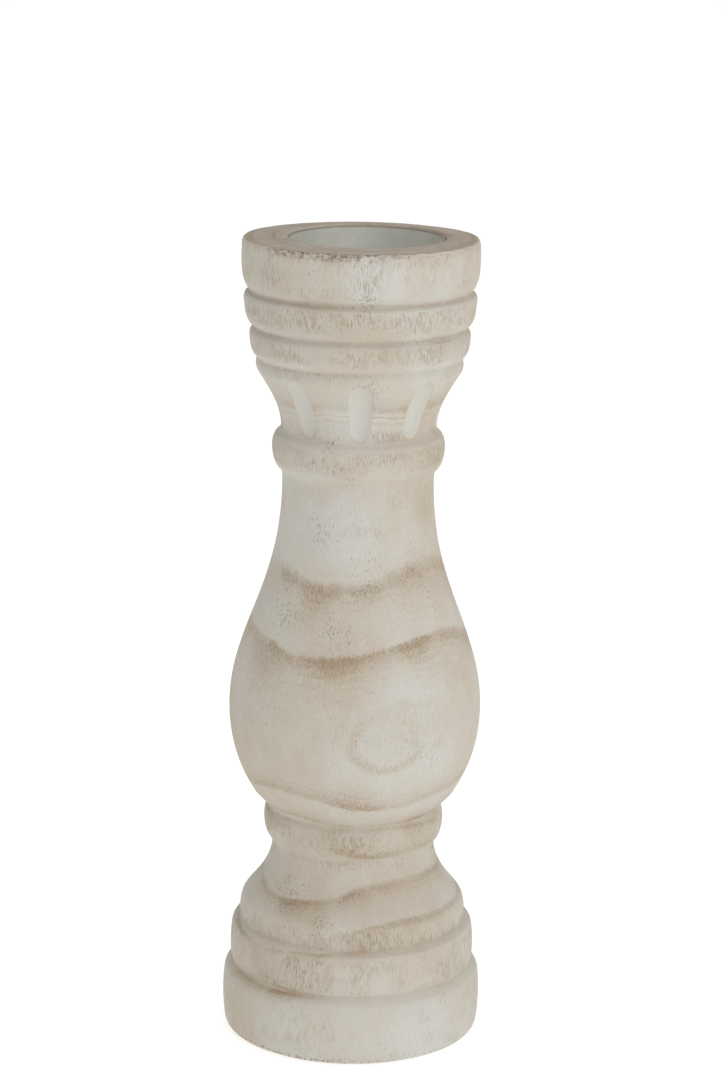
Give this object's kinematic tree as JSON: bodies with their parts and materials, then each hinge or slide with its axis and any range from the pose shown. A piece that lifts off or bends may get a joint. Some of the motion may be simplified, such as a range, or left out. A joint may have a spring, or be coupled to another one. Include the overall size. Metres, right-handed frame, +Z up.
{
  "type": "wooden candlestick",
  "caption": "Turned wooden pillar candlestick with a belly, stacked rings, a fluted neck cove and a steel cup sunk in the top.",
  "frame": {"origin": "middle of the plane that the felt pads stand on", "axes": "+Z up along the turning axis, -Y is the front"},
  "size_m": [0.1294, 0.1294, 0.4],
  "materials": {
    "whitewashed_wood": "turned paulownia with a thin whitewash, torn grain and darker growth rings",
    "zinc_steel": "dull zinc-plated pressed sheet",
    "plated_screw": "zinc-plated screw",
    "felt": "grey-beige pressed felt"
  },
  "bodies": {
    "root": {"turned_body": "whitewashed_wood", "candle_cup": "zinc_steel", "cup_screw": "plated_screw", "felt_pad_1": "felt", "felt_pad_2": "felt", "felt_pad_3": "felt", "felt_pad_4": "felt"}
  },
  "joints": []
}
